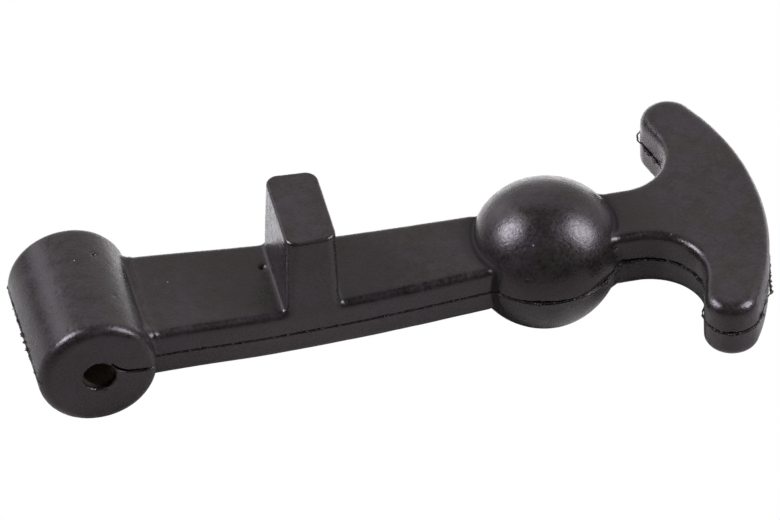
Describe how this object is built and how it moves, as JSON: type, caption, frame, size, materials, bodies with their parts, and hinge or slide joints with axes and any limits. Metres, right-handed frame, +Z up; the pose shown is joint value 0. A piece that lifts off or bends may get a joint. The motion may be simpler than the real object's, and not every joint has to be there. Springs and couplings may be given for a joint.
{
  "type": "rubber t draw latch",
  "caption": "One-piece rubber draw latch: a bored hinge eye, tapered strap with a stop block, locking ball and bow-shaped T pull handle.",
  "frame": {"origin": "middle of the hinge eye's bore", "axes": "+X from the eye along the strap to the handle, +Y along the bore, +Z up towards the stop block's side; the mould's parting plane is z = 0"},
  "size_m": [0.1382, 0.06, 0.0344],
  "materials": {
    "rubber": "black moulded rubber, satin with faint mottling and a ragged parting line"
  },
  "bodies": {
    "root": {"draw_latch": "rubber"}
  },
  "joints": []
}
